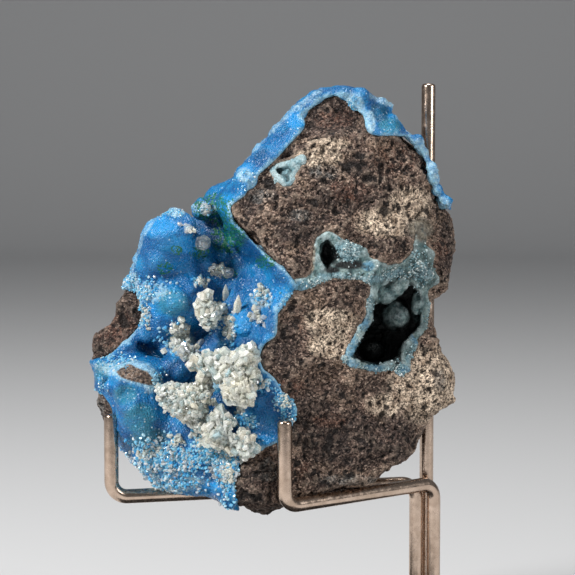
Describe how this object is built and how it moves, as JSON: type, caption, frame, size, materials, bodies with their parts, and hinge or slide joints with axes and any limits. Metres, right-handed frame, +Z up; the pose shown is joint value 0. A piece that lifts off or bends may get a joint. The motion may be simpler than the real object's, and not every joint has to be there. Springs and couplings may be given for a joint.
{
  "type": "hemimorphite specimen in a metal stand",
  "caption": "Blue botryoidal hemimorphite with white crystal clusters on brown gossan matrix with a teal-lined vug, standing in a bent metal rod stand on a plain base.",
  "frame": {"origin": "the middle of the base plate's underside", "axes": "+Z is up, -Y faces the viewer, +X is to the viewer's right"},
  "size_m": [0.112, 0.08, 0.166],
  "materials": {
    "gossan": "matte",
    "blue_hemimorphite": "satin",
    "teal_hemimorphite": "satin",
    "white_hemimorphite": "gloss",
    "rod_metal": "satin",
    "black_steel": "satin"
  },
  "bodies": {
    "root": {"matrix": "gossan", "blue_crust": "blue_hemimorphite", "vug_lining": "teal_hemimorphite", "pocket_lining": "teal_hemimorphite", "white_crystals_left": "white_hemimorphite", "white_crystals_right": "white_hemimorphite", "white_crystals_low": "white_hemimorphite", "white_crystals_high": "white_hemimorphite", "back_rod": "rod_metal", "left_arm": "rod_metal", "front_arm": "rod_metal", "base_plate": "black_steel"}
  },
  "joints": []
}
